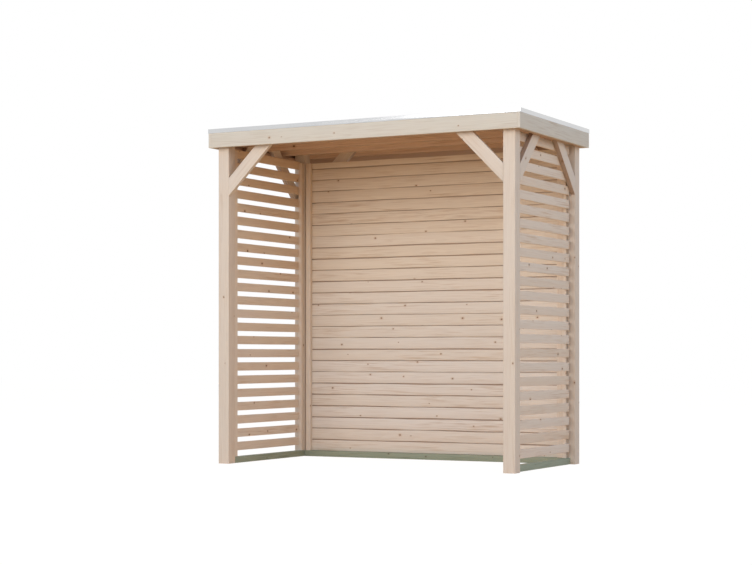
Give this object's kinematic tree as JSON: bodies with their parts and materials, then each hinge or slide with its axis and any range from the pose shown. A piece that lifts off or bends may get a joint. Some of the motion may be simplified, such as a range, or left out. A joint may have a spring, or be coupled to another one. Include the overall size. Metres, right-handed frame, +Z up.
{
  "type": "garden pavilion",
  "caption": "Open-fronted timber garden pavilion with slatted sides, a boarded rear wall, knee braces and a flat roof that shelters garden furniture.",
  "frame": {"origin": "on the ground, in the middle of the four posts and of the roof", "axes": "+Z up, +X along the front towards the right, +Y from the open front to the rear wall"},
  "size_m": [2.466, 1.29, 2.44],
  "materials": {
    "post_timber": "planed untreated spruce",
    "brace_timber": "planed untreated spruce",
    "slat_timber": "planed untreated spruce",
    "batten_timber": "planed untreated spruce",
    "wall_boards": "planed untreated spruce",
    "roof_timber": "planed untreated spruce",
    "roof_boards": "planed untreated spruce",
    "fascia_timber": "planed untreated spruce",
    "treated_sill": "pressure-treated pine",
    "edge_trim": "satin mill finish",
    "roof_membrane": "matt"
  },
  "bodies": {
    "root": {"front_left_post": "post_timber", "front_right_post": "post_timber", "rear_left_post": "post_timber", "rear_right_post": "post_timber", "left_sill": "treated_sill", "right_sill": "treated_sill", "rear_sill": "treated_sill", "left_front_batten": "batten_timber", "left_rear_batten": "batten_timber", "right_front_batten": "batten_timber", "right_rear_batten": "batten_timber", "rear_left_batten": "batten_timber", "rear_right_batten": "batten_timber", "left_slats": "slat_timber", "right_slats": "slat_timber", "rear_wall": "wall_boards", "front_left_brace": "brace_timber", "front_right_brace": "brace_timber", "rear_left_brace": "brace_timber", "rear_right_brace": "brace_timber", "left_front_brace": "brace_timber", "left_rear_brace": "brace_timber", "right_front_brace": "brace_timber", "right_rear_brace": "brace_timber", "left_rail": "roof_timber", "right_rail": "roof_timber", "front_rail": "roof_timber", "rear_rail": "roof_timber", "front_joist": "roof_timber", "middle_joist": "roof_timber", "rear_joist": "roof_timber", "roof_deck": "roof_boards", "roof_covering": "roof_membrane", "front_fascia": "fascia_timber", "rear_fascia": "fascia_timber", "left_fascia": "fascia_timber", "right_fascia": "fascia_timber", "front_trim": "edge_trim", "rear_trim": "edge_trim", "left_trim": "edge_trim", "right_trim": "edge_trim"}
  },
  "joints": []
}
